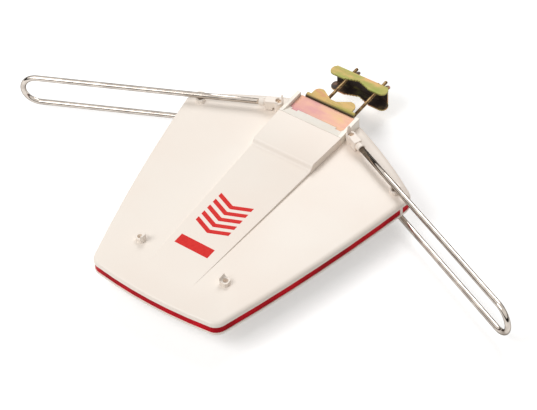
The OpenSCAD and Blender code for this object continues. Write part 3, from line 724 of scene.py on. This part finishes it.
class ANTENNA_OT_fittings(bpy.types.Operator):
    """Finish the screws, the socket and the boards inside"""

    bl_idname = "antenna.fittings"
    bl_label = "Fittings"

    def execute(self, context):
        zinc = mottled("zinc_screw", 1.0, 420.0, 3.0,
                       (srgb(190, 190, 188), srgb(222, 220, 214)), (0.2, 0.2))
        dress(zinc, "lower_pivot_screws", "bracket_screws", "housing_screws")
        dull = mottled("dull_pivot_screw", 0.2, 420.0, 3.0,
                       (srgb(196, 170, 146), srgb(216, 194, 170)), (0.4, 0.2))
        dress(dull, "upper_pivot_screws")
        nickel = mottled("nickel_socket", 1.0, 380.0, 3.0,
                         (srgb(204, 200, 190), srgb(230, 228, 222)), (0.12, 0.16))
        dress(nickel, "socket_nut", "socket_washer")
        self.socket(nickel, context.scene.antenna_threads.socket_pitch)
        board = mottled("glass_board", 0.0, 1500.0, 2.0,
                        (srgb(60, 112, 68), srgb(84, 134, 84)), (0.5, 0.0),
                        stretch=(1.0, 0.15, 1.0))
        dress(board, "element_board", "amplifier_board")
        copper = mottled("printed_copper", 1.0, 90.0, 4.0,
                         (srgb(196, 118, 78), srgb(222, 150, 104)), (0.2, 0.3))
        dress(copper, "copper_elements", "contact_strips")
        tin = mottled("tinned_can", 1.0, 140.0, 2.0,
                      (srgb(186, 184, 178), srgb(214, 212, 206)), (0.2, 0.3), 0.15)
        dress(tin, "screening_can")
        return {"FINISHED"}

    def socket(self, nickel, pitch):
        """The socket: threaded barrel below, plain core and flange inside."""
        barrel, barrel_end, core, core_foot = 0.00476, 0.0076, 0.0046, 0.0072
        flange, flange_foot, flange_top = 0.007, 0.0136, 0.0156
        low, high = (Vector(corner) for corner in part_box("coax_socket"))
        bm = bmesh.new()
        thread(bm, barrel, barrel_end, pitch, 24)
        skin(bm, [circle(bm, core, z) for z in (core_foot, high.z - low.z)], True)
        skin(bm, [circle(bm, flange, z) for z in (flange_foot, flange_top)], True)
        bmesh.ops.translate(bm, verts=bm.verts,
                            vec=((low.x + high.x) / 2, (low.y + high.y) / 2, low.z))
        add_piece("threaded_socket", bm, nickel, "housing", ("coax_socket",), angle=40)


class ANTENNA_OT_stage(bpy.types.Operator):
    """Add the floor, the lamps and the camera"""

    bl_idname = "antenna.stage"
    bl_label = "Stage"

    def execute(self, context):
        scene, chosen = context.scene, context.scene.antenna_stage
        scene.view_settings.view_transform = "Standard"
        self.floor()
        self.walls()
        self.sky(scene, chosen.sky)
        self.lamp(scene, "key", (-1.0, -1.9, 2.2), 1.7, chosen.key)
        self.lamp(scene, "back", (-0.7, 1.9, 2.3), 1.6, chosen.back)
        self.camera(scene, chosen.lens)
        return {"FINISHED"}

    def floor(self):
        """Matt white that keeps the shadow, lifted to white where it is seen directly."""
        half, gap, white = 8.0, 0.0005, (0.82, 0.82, 0.82, 1.0)
        bm = bmesh.new()
        bmesh.ops.create_grid(bm, x_segments=1, y_segments=1, size=half)
        bmesh.ops.translate(bm, vec=(0, 0, CAD_BOX[0][2] - gap), verts=bm.verts)
        pale = Finish("pale_floor", 0.9, Base_Color=white, Specular_IOR_Level=0.0)
        matt = Value(pale, pale.shader.outputs[0])
        glow = pale.node("ShaderNodeEmission", None, {"Strength": 0.4})
        both = pale.node("ShaderNodeAddShader", None, [matt, glow])
        shown = pale.node("ShaderNodeMixShader", None, [pale.looked_at(), matt, both])
        pale.fill(pale.tree.nodes["Material Output"].inputs["Surface"], shown)
        floor = add_object("floor", to_mesh("floor", bm), pale)

    def walls(self):
        """Dark low walls round the room, which only bright metal shows."""
        bm = bmesh.new()
        skin(bm, [circle(bm, 3.6, z, 48) for z in (0.0, 1.3)], False)
        dark = Finish("dark_wall", 0.9)
        dark.set("Base Color", dark.mix(
            dark.noise(0.7).between(0.3, 0.7), srgb(24, 21, 20), srgb(46, 41, 38)))
        walls = add_object("walls", to_mesh("walls", bm), dark)
        walls.visible_diffuse = False
        walls.visible_shadow = False

    def sky(self, scene, level):
        """A soft sky, which is white where the camera or bright metal looks."""
        world = bpy.data.worlds.new("studio")
        scene.world = world
        world.use_nodes = True
        air = Tree(world.node_tree)
        inputs = air.tree.nodes["Background"].inputs
        air.fill(inputs["Color"], srgb(255, 253, 250))
        air.fill(inputs["Strength"], air.looked_at() * (1.0 - level) + level)

    def lamp(self, scene, name, spot, size, power):
        """A large soft lamp that points at the housing."""
        lamp = bpy.data.lights.new(name, "AREA")
        lamp.size = size
        lamp.energy = power
        holder = bpy.data.objects.new(name, lamp)
        scene.collection.objects.link(holder)
        holder.location = spot
        toward = Vector((0, -0.15, 0)) - Vector(spot)
        holder.rotation_euler = toward.to_track_quat("-Z", "Y").to_euler()

    def camera(self, scene, lens):
        """Places the camera at the picture's viewing angle."""
        azimuth, elevation, roll = (math.radians(a) for a in (38.476, 46.621, -3.786))
        target, distance = Vector((0.03225, -0.22134, 0.0125)), 2.4958
        ahead = Vector((-math.sin(azimuth) * math.cos(elevation),
                        math.cos(azimuth) * math.cos(elevation), -math.sin(elevation)))
        right = Vector((math.cos(azimuth), math.sin(azimuth), 0))
        up = right.cross(ahead)
        side = right * math.cos(roll) + up * math.sin(roll)
        top = up * math.cos(roll) - right * math.sin(roll)
        camera = bpy.data.cameras.new("camera")
        camera.lens = lens
        camera.sensor_width = 36.0
        camera.sensor_fit = "HORIZONTAL"
        holder = bpy.data.objects.new("camera", camera)
        scene.collection.objects.link(holder)
        turn = Matrix((side, top, -ahead)).transposed().to_4x4()
        holder.matrix_world = Matrix.Translation(target - ahead * distance) @ turn
        scene.camera = holder


OPERATORS = (ANTENNA_OT_housing, ANTENNA_OT_print, ANTENNA_OT_loops, ANTENNA_OT_clamp,
             ANTENNA_OT_wing_nuts, ANTENNA_OT_fittings, ANTENNA_OT_stage)
SETTINGS = {"antenna_housing": HousingSettings, "antenna_print": PrintSettings,
            "antenna_loops": LoopSettings, "antenna_threads": ThreadSettings,
            "antenna_stage": StageSettings}


class ANTENNA_PT_panel(bpy.types.Panel):
    """Lists the settings and the steps that dress the antenna"""

    bl_idname = "ANTENNA_PT_panel"
    bl_label = "Antenna"
    bl_space_type = "VIEW_3D"
    bl_region_type = "UI"
    bl_category = "Antenna"

    def draw(self, context):
        for pointer, group in SETTINGS.items():
            box = self.layout.box()
            for name in group.__annotations__:
                box.prop(getattr(context.scene, pointer), name)
        for operator in OPERATORS:
            self.layout.operator(operator.bl_idname)


CLASSES = (*SETTINGS.values(), *OPERATORS, ANTENNA_PT_panel)


def register():
    for cls in CLASSES:
        bpy.utils.register_class(cls)
    for pointer, group in SETTINGS.items():
        setattr(bpy.types.Scene, pointer, bpy.props.PointerProperty(type=group))


def unregister():
    for pointer in SETTINGS:
        delattr(bpy.types.Scene, pointer)
    for cls in reversed(CLASSES):
        bpy.utils.unregister_class(cls)


def main():
    register()
    bpy.ops.antenna.housing()
    bpy.ops.antenna.print()
    bpy.ops.antenna.loops()
    bpy.ops.antenna.clamp()
    bpy.ops.antenna.wing_nuts()
    bpy.ops.antenna.fittings()
    bpy.ops.antenna.stage()


if __name__ == "__main__":
    main()
